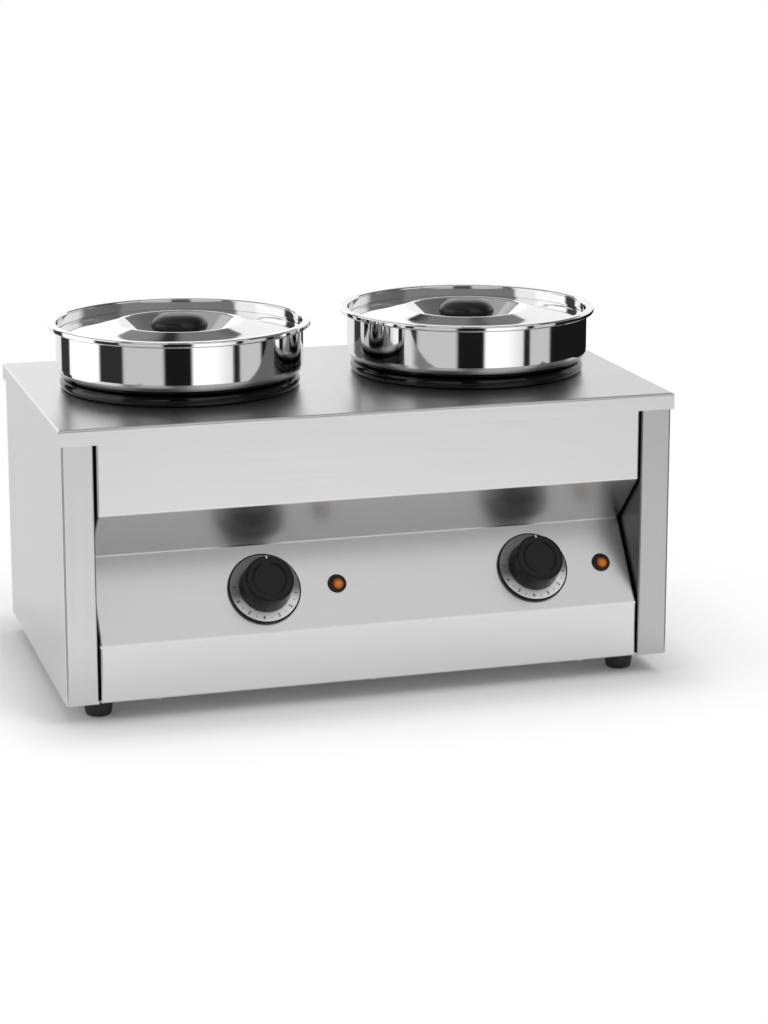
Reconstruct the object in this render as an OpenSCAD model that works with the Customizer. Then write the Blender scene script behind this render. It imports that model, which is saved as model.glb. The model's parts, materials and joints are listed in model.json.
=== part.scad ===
// Countertop soup kettle: a folded steel cabinet with two heated wells, each holding a lift-out
// pot with an inset lid, and a sloping control panel with two thermostat dials and pilot lamps.
// Millimetres. X runs to the right, Y to the back, Z up, and Z = 0 is the table.

/* [Cabinet] */
// Width of the top plate
body_w = 520; // [505:1:560]
// Depth of the top plate, front to back
body_d = 290; // [280:1:330]
// Height of the worktop above the table
body_h = 245; // [238:1:260]
// Thickness of every folded sheet
sheet = 1; // [0.8:0.1:1.5]
// Inner radius of every fold
bend_r = 1; // [0.6:0.1:2]
// Height of the lip that folds down round the top plate
lip_h = 13.5; // [8:0.5:20]
// Distance that the lip stands out past the panels
lip_overhang = 2; // [1.8:0.1:4]
// Width of the side panels' front flanges
flange_w = 26.3; // [18:0.1:27]
// Depth of the leg that each front flange folds back to
return_d = 52; // [48:1:60]
// Width of the hidden flanges that join the panels
joint_flange = 12; // [9:0.5:14]
// Gap between the front panel and each side panel
front_gap = 1.8; // [1:0.1:5]

/* [Front panel] */
// Height of the upper fascia's lower edge
recess_top_z = 173; // [165:1:185]
// Height of the crease at the back of the recess
crease_z = 128; // [118:1:135]
// Height of the fold below the control panel
fold_z = 65; // [58:1:72]
// Depth of the recess at its crease
recess_d = 46; // [38:1:52]

/* [Wells and pots] */
// Distance between the two pot centres
pot_pitch = 256; // [250:1:262]
// Distance of the pot centres behind the front edge
pot_setback = 157; // [150:1:165]
// Outer radius of the pot rim
rim_r = 111; // [109:0.5:114]
// Height of the rolled edge
rim_roll = 4.8; // [2.6:0.1:5]
// Outer radius of the pot's upper wall
pot_r = 104.8; // [103.5:0.1:106.5]
// Height of the upper wall, from the ring to the rim
pot_upper_h = 46.5; // [38:0.1:50]
// Radius of the shoulder under the upper wall
shoulder_r = 9; // [5:0.5:9.5]
// Outer radius of the pot's lower wall
pot_neck_r = 92.5; // [88:0.5:92.8]
// Depth of the lower wall, from the ring down
pot_lower_h = 125; // [90:1:127]
// Radius of the pot's bottom corner
pot_base_r = 14; // [6:1:25]
// Wall of the pots and lids
pot_wall = 1; // [0.7:0.1:1.4]
// Inner radius of the wells
well_r = 95.5; // [95:0.1:97]
// Depth of the wells below the top plate
well_depth = 138; // [134:1:139]
// Radius of the bend round the wells' base
well_base_r = 2.5; // [2:0.1:4]
// Depth of the edge that turns down round the wells' base
well_edge = 4; // [3:0.5:6]
// Width of the flange that holds each well under the top plate
well_flange = 6.5; // [4:0.5:8]
// Outer radius of the black ring under each pot
ring_r = 102; // [99:0.5:103]
// Height of the black ring
ring_h = 9; // [8:0.5:16]
// Depth of the ring's spigot in the top plate's hole
ring_spigot = 3.5; // [2:0.5:6]
// Gap between the ring's spigot and the well
ring_fit = 0.3; // [0.1:0.05:0.6]
// Gap between the lower wall of the pot and the ring
ring_clear = 1.4; // [0.6:0.1:2]
// Gap between pieces that lift off and what they rest on
seat_gap = 0.3; // [0.3:0.05:0.6]

/* [Lids] */
// Distance of the lid's edge below the rim
lid_drop = 9.5; // [6:0.5:12]
// Gap round the lid's edge
lid_clear = 0.6; // [0.4:0.1:1.5]
// Width of the flat edge of the lid
lid_edge = 3; // [2:0.5:6]
// Radius of the lid's crest
crest_r = 51.5; // [40:0.5:56]
// Height of the crest above the rim, less than nothing where it lies below
crest_rise = -1.2; // [-2:0.1:4]
// Radius of the floor of the dish in the lid
dish_r = 27; // [20:1:32]
// Depth of the dish below the crest
dish_depth = 21; // [16:0.5:22]
// Radius of the lid knob
lid_knob_r = 24; // [20:0.5:26]
// Thickness of the lid knob's cap
lid_knob_h = 20; // [14:0.5:22]
// Radius of the lid knob's stem
lid_stem_r = 8; // [6:0.5:12]
// Gap between the dish floor and the underside of the cap
lid_grip_gap = 7; // [5:0.5:9]
// Radius of the ledge that carries the lid, measured in from the pot's wall
ledge_w = 2.5; // [1.5:0.1:4]

/* [Controls] */
// Distance of the left dial from the top plate's left edge
dial_left_in = 171; // [160:1:180]
// Distance of the right dial from the top plate's right edge
dial_right_in = 116; // [111:1:124]
// Distance of the dials and lamps above the lower fold, along the slope
dial_rise = 38.5; // [36:0.5:42]
// Radius of the dial's black base
dial_r = 30.5; // [28:0.5:32]
// Height of the dial's black base
dial_h = 3.2; // [2.6:0.1:5]
// Width of the black edge round the dial plate
dial_edge = 1.3; // [0.8:0.1:3]
// Radius of the hole in the dial plate
dial_hole_r = 19; // [17.5:0.5:20]
// Thickness of the dial plate
dial_plate_t = 0.5; // [0.3:0.1:0.9]
// Radius of the control knob at its skirt
knob_r = 21.8; // [21:0.1:24]
// Radius of the control knob at its top
knob_top_r = 20.3; // [18:0.1:21]
// Height of the knob's top above the panel
knob_top = 25; // [22:0.5:32]
// Gap between the knob and the dial plate
knob_gap = 1; // [0.5:0.1:2]
// Wall of the knob
knob_wall = 2.4; // [1.6:0.1:3]
// Radius of the thermostat spindle
spindle_r = 3; // [2.5:0.1:3.5]
// Distance from each dial to its lamp
lamp_offset = 62; // [52:0.5:64]
// Radius of the lamp's black rim
lamp_r = 7.9; // [6.5:0.1:9]
// Radius of the amber lens
lens_r = 5.5; // [4:0.1:6]
// Height of the lamp's rim
lamp_h = 1.8; // [1.2:0.1:3]
// Width and height of the thermostat's case
thermostat_w = 34; // [30:1:36]
// Depth of the thermostat's case
thermostat_d = 28; // [20:1:30]

/* [Heating] */
// Radius of the heater's ring
heater_r = 58; // [45:1:60]
// Radius of the heater's tube
heater_tube_r = 4; // [3:0.1:4.5]
// Radius of the plate that clamps the heater
heater_plate_r = 68; // [64:1:70]
// Thickness of the clamping plate
heater_plate_t = 1.5; // [1:0.1:2]
// Radius of the sensor bulb
bulb_r = 3; // [2.5:0.1:3.5]
// Length of the sensor bulb
bulb_l = 50; // [30:1:52]

/* [Feet and fixings] */
// Height of the rubber feet
foot_h = 19; // [14:0.5:30]
// Radius of the feet at the top
foot_r = 12.9; // [11:0.1:14]
// Radius of the feet at the floor
foot_floor_r = 11; // [9:0.1:11.5]
// Distance of the feet from the top plate's side edges
foot_inset_x = 33; // [32:1:40]
// Distance of the feet from the top plate's front and back edges
foot_inset_y = 33; // [30:1:45]
// Radius of the sheet-metal screws
screw_r = 1.5; // [1.2:0.1:2]
// Radius of the screw heads
screw_head_r = 3; // [2.6:0.1:3.5]
// Height of the screw heads
screw_head_h = 1.7; // [1.2:0.1:1.8]
// Clearance round each screw
screw_clear = 0.1; // [0.05:0.05:0.3]

/* [Cable inlet] */
// Distance of the cable gland from the top plate's right edge
gland_in = 70; // [50:1:100]
// Height of the cable gland
gland_z = 52; // [42:1:60]
// Distance that the gland stands out of the back panel's flanges
gland_out = 14; // [12:0.5:20]
// Radius of the gland's bore
gland_bore_r = 4.2; // [3:0.1:4.5]
// Radius of the gland's thread
gland_thread_r = 7.8; // [7:0.1:8.5]
// Width across the flats of the gland's nuts
gland_hex = 22; // [20:0.5:24]

/* [Ventilation] */
// Slots in each group
vent_count = 8; // [4:1:10]
// Distance between slots
vent_pitch = 10; // [8:0.5:12]
// Width of a slot
vent_w = 4; // [2:0.5:5]
// Length of a slot
vent_l = 34; // [20:1:50]
// Distance of each group from the middle
vent_x = 105; // [90:1:120]
// Height of the slots' middle in the back panel
vent_z = 190; // [170:1:195]

/* [Hidden] */

$fn = 96;
steel = [0.80, 0.80, 0.81];
polished = [0.88, 0.88, 0.89];
black = [0.06, 0.06, 0.06];
amber = [0.85, 0.42, 0.08];
zinc = [0.68, 0.69, 0.70];
brass = [0.78, 0.64, 0.32];

// The control panel's slope
slope = atan2(crease_z - fold_z, recess_d);

// The origin lies under the middle of the whole outline, from the knobs' front to the gland's end
knob_round = 2;
knob_reach = knob_round + (knob_top - knob_round) * sin(slope)
    + (knob_top_r - knob_round - dial_rise) * cos(slope);
panel_d = body_d - 2 * lip_overhang;
face_y = knob_reach - (knob_reach + panel_d + gland_out) / 2;
rear_y = face_y + panel_d;
y_front = face_y - lip_overhang;
y_back = rear_y + lip_overhang;
side_x = body_w / 2 - lip_overhang;
return_x = side_x - flange_w;
panel_half = return_x - front_gap;
fold_r = bend_r + sheet;
top_under = body_h - sheet;
base_top = foot_h + sheet;
skirt_z = foot_h - sheet;
return_z = base_top + 0.5;
panel_clear = 1;

// Places and small sizes on the control panel
dial_x = [dial_left_in - body_w / 2, body_w / 2 - dial_right_in];
dial_floor = 1.6;
dial_screw_l = 8;
bushing_r = spindle_r + 2;
dial_screw_x = (bushing_r + dial_hole_r) / 2 + 1;
spindle_clear = 0.05;
spindle_in = 12;
spindle_flat = 0.8;
knob_roof = 3.5;
lamp_shank_r = lens_r - 0.4;
lamp_shank_l = 16;
lens_seat = 0.6;

// The pots' levels
pot_x = pot_pitch / 2;
pot_y = y_front + pot_setback;
ring_top = body_h + ring_h;
pot_ledge = ring_top + seat_gap;
rim_z = pot_ledge + pot_upper_h;
pot_floor = pot_ledge - pot_lower_h;
pot_in_r = pot_r - pot_wall;
lid_z = rim_z - lid_drop;
crest_z = rim_z + crest_rise;
dish_z = crest_z - dish_depth;
cap_z = dish_z + lid_grip_gap;
hole_r = well_r + 0.5;
well_floor = body_h - well_depth;
heater_z = well_floor - sheet - heater_tube_r;
heater_plate_z = heater_z - heater_tube_r;
heater_pin_l = 18;
stud_r = 3;
nut_h = 4;
nut_r = 5;
bulb_y = heater_plate_r + bulb_r + 4;
lid_screw_l = 10;

foot_x = body_w / 2 - foot_inset_x;
foot_ys = [y_front + foot_inset_y, y_back - foot_inset_y];
foot_bolt_r = 2;
foot_web = 6;

// The cable gland's collar and the earth stud in front of it
gland_x = body_w / 2 - gland_in;
collar_t = 5;
earth_x = gland_x + 30;
earth_y = foot_ys[1] - foot_r - 25;
earth_r = 2.5;

// Places of the screws along each joint
screw_from_end = 2 * joint_flange;
side_from = face_y + return_d + screw_from_end;
side_run = rear_y - screw_from_end - side_from;
back_run = body_h - lip_h - foot_h - 2 * screw_from_end;
base_side_ys = [for (k = [0 : 2]) side_from + k * side_run / 2];
base_front_xs = [for (k = [-1 : 1]) k * (panel_half - 2 * screw_from_end)];
back_zs = [for (k = [0 : 2]) foot_h + screw_from_end + k * back_run / 2];
stud_ys = [side_from, side_from + side_run];
flange_mid = joint_flange * 0.6;

// Outlines of bent sheet. A path is a list of [x, y, radius of the bend there].
function unit(v) = v / norm(v);
function side_of(a, b) = let (d = unit(b - a)) [d[1], -d[0]];
function xy(p) = [p[0], p[1]];
function reversed(p) = [for (i = [len(p) - 1 : -1 : 0]) p[i]];

function bend(a, b, c, r, steps) =
    let (u = unit(a - b), v = unit(c - b), half = acos(u * v) / 2,
         centre = b + unit(u + v) * r / sin(half),
         from = unit(b + u * r / tan(half) - centre), to = unit(b + v * r / tan(half) - centre))
    [for (k = [0 : steps]) centre + r * unit(from * (steps - k) + to * k)];

function bent(path, steps = 5) = [
    xy(path[0]),
    for (i = [1 : len(path) - 2])
        each bend(xy(path[i - 1]), xy(path[i]), xy(path[i + 1]), path[i][2], steps),
    xy(path[len(path) - 1])];

function beside(p, t) = [for (i = [0 : len(p) - 1])
    let (n1 = side_of(p[max(i - 1, 0)], p[max(i, 1)]),
         n2 = side_of(p[min(i, len(p) - 2)], p[min(i + 1, len(p) - 1)]))
    p[i] + (n1 + n2) * t / (1 + n1 * n2)];

function sheet_outline(path, t) = let (p = bent(path)) concat(p, reversed(beside(p, t)));

// Turns a Y-Z outline into a bar along X, from x = from to x = to
module bar_x(from, to) {
    translate([from, 0, 0])
        rotate([90, 0, 90])
            linear_extrude(to - from)
                children();
}

// Puts its children on the control panel's face, with Z out of the panel and Y up the slope
module on_panel(x) {
    translate([x, face_y + dial_rise * cos(slope), fold_z + dial_rise * sin(slope)])
        rotate([slope, 0, 0])
            children();
}

module at_pot(side) {
    translate([side * pot_x, pot_y, 0])
        children();
}

// A round bar between two points
module rod(a, b, r) {
    d = b - a;
    translate(a)
        rotate([0, acos(d[2] / norm(d)), atan2(d[1], d[0])])
            cylinder(h = norm(d), r = r, $fn = 24);
}

// A pan-head screw pointing down, its head seated on Z = 0
module screw(length) {
    cylinder(h = screw_head_h, r = screw_head_r, $fn = 32);
    translate([0, 0, -length])
        cylinder(h = length + 0.1, r = screw_r, $fn = 32);
}

// Holes for those screws
module screw_hole(length) {
    translate([0, 0, -length])
        cylinder(h = 2 * length, r = screw_r + screw_clear, $fn = 32);
}

module at_base_screws() {
    for (y = base_side_ys, s = [-1, 1])
        translate([s * (side_x - flange_mid), y, skirt_z])
            rotate([180, 0, 0])
                children();
    for (x = base_front_xs)
        translate([x, face_y + flange_mid, skirt_z])
            rotate([180, 0, 0])
                children();
}

module at_back_screws() {
    for (z = back_zs, s = [-1, 1])
        translate([s * (side_x - flange_mid), rear_y, z])
            rotate([-90, 0, 0])
                children();
}

module at_studs() {
    for (y = stud_ys, s = [-1, 1])
        translate([s * (side_x - flange_mid), y, top_under])
            children();
}

module at_feet() {
    for (x = [-foot_x, foot_x], y = foot_ys)
        translate([x, y, 0])
            children();
}

// A slab with its upper edges folded to radius r
module folded_slab(w, d, h, r) {
    intersection() {
        rotate([90, 0, 0])
            linear_extrude(d, center = true)
                folded_section(w, h, r);
        rotate([90, 0, 90])
            linear_extrude(w, center = true)
                folded_section(d, h, r);
    }
}

module folded_section(w, h, r) {
    translate([-w / 2, 0])
        square([w, h - r]);
    translate([-w / 2 + r, 0])
        square([w - 2 * r, h]);
    for (s = [-1, 1])
        translate([s * (w / 2 - r), h - r])
            circle(r, $fn = 32);
}

module top_plate() {
    color(steel)
        difference() {
            translate([0, (y_front + y_back) / 2, body_h - lip_h])
                folded_slab(body_w, body_d, lip_h, fold_r);
            translate([0, (y_front + y_back) / 2, body_h - lip_h - 1])
                folded_slab(body_w - 2 * sheet, body_d - 2 * sheet, lip_h + 1 - sheet, bend_r);
            for (s = [-1, 1])
                at_pot(s)
                    translate([0, 0, body_h - lip_h])
                        cylinder(h = lip_h + 1, r = hole_r, $fn = 128);
        }
}

// The left side panel: a wall with a front flange that folds back, a rear flange, and
// joint flanges along its top and bottom
module side_panel() {
    wall = [[-return_x, face_y, fold_r], [-side_x, face_y, fold_r], [-side_x, rear_y, fold_r],
        [-side_x + joint_flange + sheet, rear_y, 0]];
    color(steel)
        difference() {
            union() {
                translate([0, 0, return_z])
                    linear_extrude(top_under - return_z)
                        polygon(sheet_outline(concat([[-return_x, face_y + return_d, 0]], wall),
                            sheet));
                translate([0, 0, skirt_z])
                    linear_extrude(return_z - skirt_z)
                        polygon(sheet_outline(wall, sheet));
                for (z = [skirt_z, top_under - sheet])
                    translate([-side_x + sheet / 2, face_y + fold_r, z])
                        cube([joint_flange - sheet / 2, rear_y - face_y - 2 * fold_r, sheet]);
            }
            at_base_screws()
                screw_hole(2 * sheet);
            at_back_screws()
                screw_hole(2 * sheet);
            at_studs()
                screw_hole(2 * sheet);
        }
}

// One folded sheet, with a flange that closes each end
module front_panel() {
    end_flange = 8;
    // The outer face from top to bottom, as distance behind the face and height
    face = [[0, top_under, fold_r], [0, recess_top_z, fold_r], [recess_d, crease_z, bend_r],
        [0, fold_z, fold_r], [0, skirt_z, fold_r]];
    section = concat([[joint_flange, top_under, 0]], face, [[joint_flange, skirt_z, 0]]);
    // The end flanges stop above the base plate
    closed = [face[0], face[1], face[2], face[3], [0, return_z, 0]];
    edge = [for (p = closed) xy(p)];
    color(steel)
        difference() {
            translate([0, face_y, 0]) {
                bar_x(-panel_half, panel_half)
                    polygon(sheet_outline(section, -sheet));
                for (x = [-panel_half, panel_half - sheet])
                    bar_x(x, x + sheet)
                        polygon(concat(bent(closed), reversed(beside(edge, -end_flange))));
            }
            translate([0, face_y, 0])
                end_corners([for (p = face) xy(p)], sheet + 0.7 * bend_r);
            for (x = dial_x) {
                on_panel(x) {
                    cylinder(h = 4 * sheet, r = bushing_r + 0.3, center = true);
                    at_dial_screws()
                        screw_hole(2 * sheet + 2);
                }
                on_panel(x + lamp_offset)
                    cylinder(h = 4 * sheet, r = lamp_shank_r + 0.2, center = true);
            }
            at_base_screws()
                screw_hole(2 * sheet);
        }
}

// What is taken off the panel's two ends, along each run of its face, to round them to radius r
module end_corners(points, r) {
    outer = beside(points, 1);
    inner = beside(points, -r - 1);
    corner = panel_half - r;
    for (i = [0 : len(points) - 2], s = [0, 1])
        mirror([s, 0, 0])
            intersection() {
                bar_x(corner - 1, panel_half + 2)
                    polygon([outer[i], outer[i + 1], inner[i + 1], inner[i]]);
                along_run(points[i + 1], points[i])
                    polygon(concat(
                        [[corner, -1], [panel_half + 1, -1], [panel_half + 1, r]],
                        [for (a = [0 : -18 : -90]) [corner + r * cos(a), r + r * sin(a)]]));
            }
}

// Turns an outline of X and depth into a bar along the run of the face from a up to b
module along_run(a, b) {
    d = unit(b - a);
    translate([0, a[0], a[1]])
        rotate([atan2(-d[0], d[1]), 0, 0])
            translate([0, 0, -5])
                linear_extrude(norm(b - a) + 10)
                    children();
}

module vent_group(length) {
    for (s = [-1, 1], k = [0 : vent_count - 1])
        translate([s * vent_x + (k - (vent_count - 1) / 2) * vent_pitch, 0])
            vent_slot(length);
}

module vent_slot(length) {
    square([vent_w, length - vent_w], center = true);
    for (s = [-1, 1])
        translate([0, s * (length - vent_w) / 2])
            circle(vent_w / 2, $fn = 24);
}

module back_panel() {
    half = side_x - sheet - panel_clear;
    color(steel)
        difference() {
            translate([-half, rear_y - 2 * sheet, foot_h])
                cube([2 * half, sheet, top_under - foot_h]);
            translate([0, rear_y - sheet / 2, vent_z])
                rotate([90, 0, 0])
                    linear_extrude(3 * sheet)
                        vent_group(vent_l);
            translate([gland_x, rear_y, gland_z])
                rotate([90, 0, 0])
                    cylinder(h = 3 * sheet, r = gland_thread_r + 0.2);
            at_back_screws()
                screw_hole(3 * sheet);
        }
}

module base_plate() {
    half = side_x - sheet - panel_clear;
    front = face_y + fold_r + panel_clear;
    back = rear_y - 2 * sheet;
    color(zinc)
        difference() {
            union() {
                translate([-half, front, foot_h])
                    cube([2 * half, back - front, sheet]);
                translate([-half, back - sheet, foot_h])
                    cube([2 * half, sheet, joint_flange]);
            }
            translate([0, (front + back) / 2, foot_h - sheet])
                linear_extrude(3 * sheet)
                    vent_group(1.6 * vent_l);
            at_feet()
                translate([0, 0, foot_h - sheet])
                    cylinder(h = 3 * sheet, r = foot_bolt_r + screw_clear, $fn = 32);
            at_base_screws()
                screw_hole(4 * sheet);
            translate([earth_x, earth_y, foot_h - sheet])
                cylinder(h = 3 * sheet, r = earth_r + screw_clear, $fn = 32);
        }
}

// The wall of a well, hung under the top plate by its flange
module well(side) {
    path = [[well_r + sheet + well_flange, top_under, 0], [well_r, top_under, fold_r],
        [well_r, well_floor - well_edge, 0]];
    color(polished)
        at_pot(side)
            rotate_extrude($fn = 128)
                polygon(sheet_outline(path, -sheet));
}

// The base welded into that wall, with its edge turned down and a stud under its floor
module well_base(side) {
    weld_gap = 0.1;
    edge_r = well_r - weld_gap;
    path = [[edge_r, well_floor - well_edge, 0], [edge_r, well_floor, well_base_r],
        [0, well_floor, 0]];
    stud_z = heater_plate_z - heater_plate_t - nut_h - 2;
    color(polished)
        at_pot(side) {
            rotate_extrude($fn = 128)
                polygon(sheet_outline(path, -sheet));
            translate([0, 0, stud_z])
                cylinder(h = well_floor - sheet / 2 - stud_z, r = stud_r, $fn = 32);
        }
}

// A rounded black ring that the pot's shoulder sits on, with a spigot in the top plate's hole
module well_ring(side) {
    inner = pot_neck_r + ring_clear;
    spigot_r = well_r - ring_fit;
    half = ring_h / 2;
    bulge = 3.8;
    color(black)
        at_pot(side)
            rotate_extrude($fn = 128)
                polygon(concat(
                    [[inner, body_h - ring_spigot], [spigot_r, body_h - ring_spigot],
                     [spigot_r, body_h]],
                    [for (a = [-90 : 15 : 90])
                        [ring_r - bulge + bulge * cos(a), body_h + half + half * sin(a)]],
                    [[inner, ring_top]]));
}

// A ring of tube whose two terminal pins pass down through the clamping plate
module heater(side) {
    gap = 20;
    color(zinc)
        at_pot(side)
            translate([0, 0, heater_z]) {
                rotate([0, 0, 90 + gap / 2])
                    rotate_extrude(angle = 360 - gap)
                        translate([heater_r, 0])
                            circle(heater_tube_r, $fn = 32);
                for (s = [-1, 1])
                    rotate([0, 0, 90 + s * (gap / 2 + 4)])
                        translate([heater_r, 0, -heater_pin_l])
                            cylinder(h = heater_pin_l, r = heater_tube_r - 1, $fn = 32);
            }
}

module heater_plate(side) {
    color(steel)
        at_pot(side)
            translate([0, 0, heater_plate_z - heater_plate_t])
                difference() {
                    cylinder(h = heater_plate_t, r = heater_plate_r);
                    translate([0, 0, -1])
                        cylinder(h = heater_plate_t + 2, r = stud_r + screw_clear, $fn = 32);
                    translate([0, heater_r, -1])
                        linear_extrude(heater_plate_t + 2)
                            square([2 * heater_r * sin(20), 2.6 * heater_tube_r], center = true);
                }
}

module heater_nuts() {
    color(zinc)
        for (s = [-1, 1])
            at_pot(s)
                translate([0, 0, heater_plate_z - heater_plate_t - nut_h])
                    difference() {
                        cylinder(h = nut_h, r = nut_r, $fn = 6);
                        translate([0, 0, -1])
                            cylinder(h = nut_h + 2, r = stud_r + screw_clear, $fn = 32);
                    }
}

// The thermostat: a case behind the panel and a bushing that comes through it
module thermostat(x) {
    half = thermostat_w / 2;
    color([0.85, 0.84, 0.80])
        on_panel(x)
            difference() {
                union() {
                    translate([-half, -half, -sheet - thermostat_d])
                        cube([thermostat_w, thermostat_w, thermostat_d]);
                    translate([0, 0, -sheet - 1])
                        cylinder(h = sheet + 1 + dial_floor, r = bushing_r, $fn = 48);
                    for (s = [-1, 1])
                        translate([s * half / 2 - 3, -half - 7, -sheet - thermostat_d * 0.6])
                            cube([6, 9, 0.8]);
                }
                translate([0, 0, -sheet - spindle_in - 1])
                    cylinder(h = spindle_in + 10, r = spindle_r + spindle_clear, $fn = 48);
                at_dial_screws()
                    screw_hole(dial_screw_l + 1);
            }
}

module at_dial_screws() {
    for (s = [-1, 1])
        translate([s * dial_screw_x, 0, dial_floor])
            children();
}

module dial_screws() {
    color(zinc)
        for (x = dial_x)
            on_panel(x)
                at_dial_screws()
                    screw(dial_screw_l);
}

// The spindle: round in the thermostat, with a flat where the knob grips it
module spindle(x) {
    flat_z = dial_h + knob_gap + 1;
    color(brass)
        on_panel(x) {
            translate([0, 0, -sheet - spindle_in])
                cylinder(h = sheet + spindle_in + flat_z, r = spindle_r, $fn = 48);
            translate([0, 0, flat_z - 0.5])
                linear_extrude(knob_top - knob_roof - 0.5 - flat_z)
                    spindle_section(0);
        }
}

module spindle_section(clear) {
    difference() {
        circle(spindle_r + clear, $fn = 48);
        translate([-2 * spindle_r, spindle_r - spindle_flat + clear])
            square([4 * spindle_r, spindle_r]);
    }
}

module dial_base(x) {
    edge = 0.8;
    color(black)
        on_panel(x)
            difference() {
                rotate_extrude()
                    polygon([[bushing_r + 0.2, 0], [dial_r, 0], [dial_r, dial_h - edge],
                        [dial_r - edge * 0.3, dial_h - edge * 0.3], [dial_r - edge, dial_h],
                        [dial_r - dial_edge, dial_h], [dial_r - dial_edge, dial_h - dial_plate_t],
                        [dial_hole_r, dial_h - dial_plate_t], [dial_hole_r, dial_floor],
                        [bushing_r + 0.2, dial_floor]]);
                at_dial_screws()
                    screw_hole(dial_floor + 1);
            }
}

module dial_plate(x) {
    color([0.82, 0.82, 0.83])
        on_panel(x)
            translate([0, 0, dial_h - dial_plate_t])
                difference() {
                    cylinder(h = dial_plate_t, r = dial_r - dial_edge - 0.05);
                    translate([0, 0, -1])
                        cylinder(h = dial_plate_t + 2, r = dial_hole_r);
                }
}

// A hollow knob with a boss for the spindle, a dished top and a notch at its pointer
module knob(x) {
    low = dial_h + knob_gap;
    roof_z = knob_top - knob_roof;
    dish_in = 13;
    dish_t = 1;
    notch_w = 1.6;
    color(black)
        on_panel(x)
            difference() {
                rotate_extrude()
                    polygon(concat(
                        [[0, roof_z], [knob_r - knob_wall - 1.5, roof_z], [knob_r - knob_wall, low],
                         [knob_r - 0.6, low], [knob_r, low + 0.6], [knob_r, low + 2.4]],
                        [for (a = [5 : 17 : 90])
                            [knob_top_r - knob_round + knob_round * cos(a),
                             knob_top - knob_round + knob_round * sin(a)]],
                        [[dish_in + 1.5, knob_top], [dish_in, knob_top - dish_t],
                         [0, knob_top - dish_t]]));
                translate([-notch_w / 2, knob_top_r - 3, knob_top - 2.2])
                    cube([notch_w, 6, 6]);
            }
    color(black)
        on_panel(x)
            translate([0, 0, low + 1])
                difference() {
                    cylinder(h = roof_z - low - 0.9, r = spindle_r + 3, $fn = 48);
                    translate([0, 0, -1])
                        linear_extrude(roof_z - low - 0.05)
                            spindle_section(spindle_clear);
                }
}

module lamp_holder(x) {
    tab_w = 4.8;
    tab_t = 0.8;
    color(black)
        on_panel(x + lamp_offset)
            difference() {
                union() {
                    rotate_extrude()
                        polygon([[0, 0], [lamp_r, 0], [lamp_r, lamp_h - 0.8],
                            [lamp_r - 0.25, lamp_h - 0.25], [lamp_r - 0.8, lamp_h],
                            [lens_r + 0.5, lamp_h], [lens_r + 0.1, lamp_h - 0.5], [0, lamp_h - 0.5]]);
                    translate([0, 0, -sheet - lamp_shank_l])
                        cylinder(h = sheet + lamp_shank_l + 0.1, r = lamp_shank_r, $fn = 48);
                    for (s = [-1, 1])
                        translate([(s * tab_w - tab_t) / 2, -tab_w / 2, -sheet - lamp_shank_l - 7])
                            cube([tab_t, tab_w, 7.1]);
                }
                translate([0, 0, lens_seat])
                    cylinder(h = lamp_h + 1, r = lens_r + 0.05, $fn = 48);
            }
}

module lamp_lens(x) {
    dome = 0.9;
    color(amber)
        on_panel(x + lamp_offset)
            rotate_extrude($fn = 48)
                polygon(concat([[0, lens_seat], [lens_r, lens_seat]],
                    [for (a = [0 : 15 : 90]) [lens_r * cos(a), lamp_h - 0.4 + dome * sin(a)]]));
}

module lamp_clips() {
    clip_t = 1;
    color(zinc)
        for (x = dial_x)
            on_panel(x + lamp_offset)
                translate([0, 0, -sheet - clip_t])
                    difference() {
                        cylinder(h = clip_t, r = lamp_r, $fn = 48);
                        translate([0, 0, -1])
                            cylinder(h = clip_t + 2, r = lamp_shank_r + 0.1, $fn = 48);
                    }
}

// A bulb held against the well's floor, and the fine tube from it to the thermostat
module sensor(side, x) {
    bulb_z = well_floor - sheet - bulb_r;
    tube_r = 0.9;
    start = [side * pot_x + bulb_l / 2, pot_y - bulb_y, bulb_z];
    depth = dial_rise * cos(slope) + (sheet + thermostat_d) * sin(slope);
    height = fold_z + dial_rise * sin(slope) - (sheet + thermostat_d) * cos(slope);
    finish = [x, face_y + depth, height];
    turn = finish + 14 * [0, sin(slope), -cos(slope)];
    mid = [start[0] + 4, start[1], start[2]];
    color(brass) {
        rod([start[0] - bulb_l, start[1], start[2]], start, bulb_r);
        rod(start - [1, 0, 0], mid, tube_r);
        rod(mid, turn, tube_r);
        rod(turn, finish, tube_r);
        for (p = [mid, turn])
            translate(p)
                sphere(tube_r + 0.3, $fn = 24);
    }
}

module sensor_clips() {
    clip_w = 10;
    clip_t = 0.8;
    color(zinc)
        for (s = [-1, 1])
            at_pot(s)
                translate([-clip_w / 2, -bulb_y, well_floor - sheet - bulb_r])
                    bar_x(0, clip_w)
                        difference() {
                            union() {
                                circle(bulb_r + clip_t + 0.1, $fn = 48);
                                translate([-bulb_r - clip_t - 0.1, 0])
                                    square([2 * (bulb_r + clip_t + 0.1), bulb_r]);
                            }
                            circle(bulb_r + 0.1, $fn = 48);
                            translate([-bulb_r - 0.1, 0])
                                square([2 * (bulb_r + 0.1), bulb_r + 1]);
                        }
}

module foot(x, y) {
    round_r = 3;
    color(black)
        translate([x, y, 0])
            rotate_extrude($fn = 64)
                polygon(concat(
                    [[foot_bolt_r + screw_clear, foot_h], [foot_r, foot_h], [foot_r, foot_h - 2]],
                    [for (a = [0 : -18 : -90])
                        [foot_floor_r - round_r + round_r * cos(a), round_r + round_r * sin(a)]],
                    [[5, 0], [5, foot_h - foot_web], [foot_bolt_r + screw_clear, foot_h - foot_web]]));
}

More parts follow.
